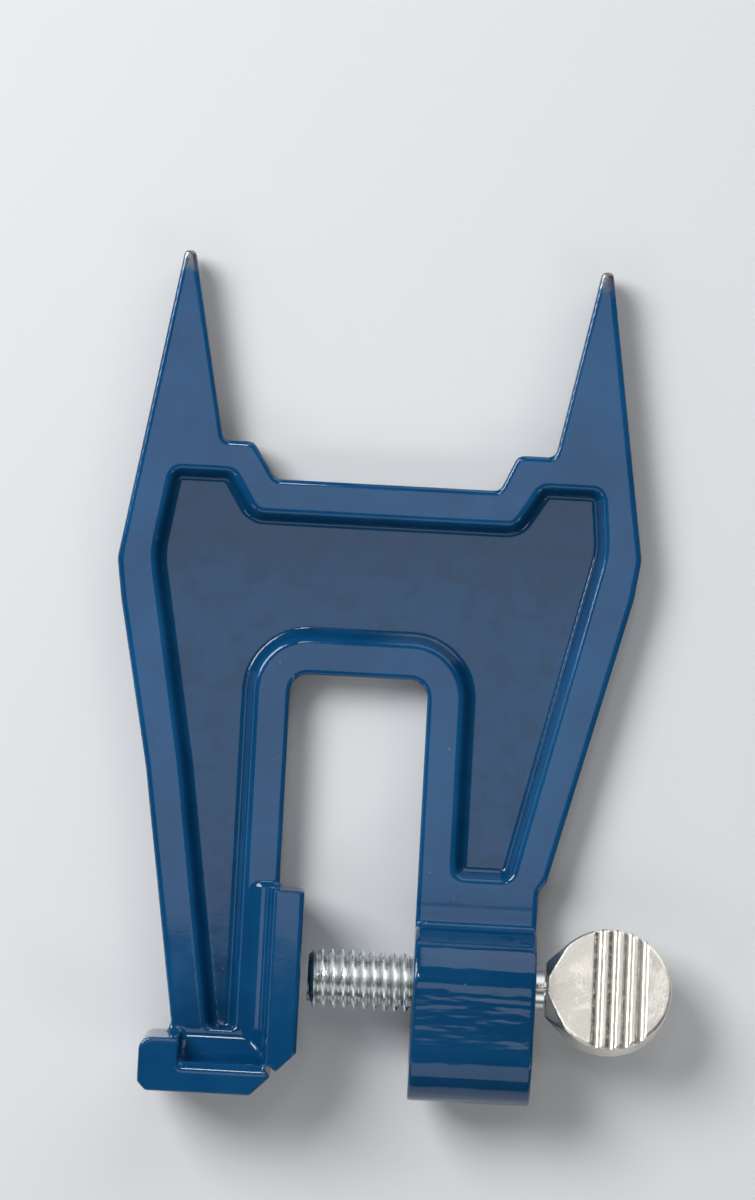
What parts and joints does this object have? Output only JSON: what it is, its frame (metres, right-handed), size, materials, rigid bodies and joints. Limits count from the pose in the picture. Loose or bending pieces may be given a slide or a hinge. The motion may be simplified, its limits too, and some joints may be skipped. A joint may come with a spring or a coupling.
{
  "type": "chainsaw stump vise",
  "caption": "Pressed and folded steel stump vise with driving spikes, a folded jaw and hammer pad, and a thumbscrew in a rolled eye that clamps a chainsaw bar for filing.",
  "frame": {"origin": "on the surface the vise lies on, under the middle of its box", "axes": "the vise lies on the back of its pressed panel: +Y toward the spike tips, +X along the clamp screw toward its thumb head, +Z out of the side that the jaw, pad and eye are folded to"},
  "size_m": [0.0902, 0.131, 0.0195],
  "materials": {
    "frame_paint": "thick gloss blue paint on steel, worn through at the spike tips",
    "screw_zinc": "bright zinc plate on steel",
    "head_plating": "warm grey-white plated casting, satin"
  },
  "bodies": {
    "frame": {"vise_frame": "frame_paint"},
    "screw": {"clamp_screw": "screw_zinc"},
    "head": {"thumb_head": "head_plating"}
  },
  "joints": [
    {"name": "screw_travel", "type": "slide", "parent": "frame", "child": "screw", "axis": [1, 0, 0], "range_m": [-0.00079, 0.01588]},
    {"name": "screw_turn", "type": "hinge", "parent": "screw", "child": "head", "pos_m": [0.03537, -0.04717, 0.01076], "axis": [1, 0, 0], "range_deg": [-180, 3600]}
  ],
  "couplings": [
    {"joint": "screw_turn", "follows": "screw_travel", "rad_per_m": 3957.9}
  ]
}
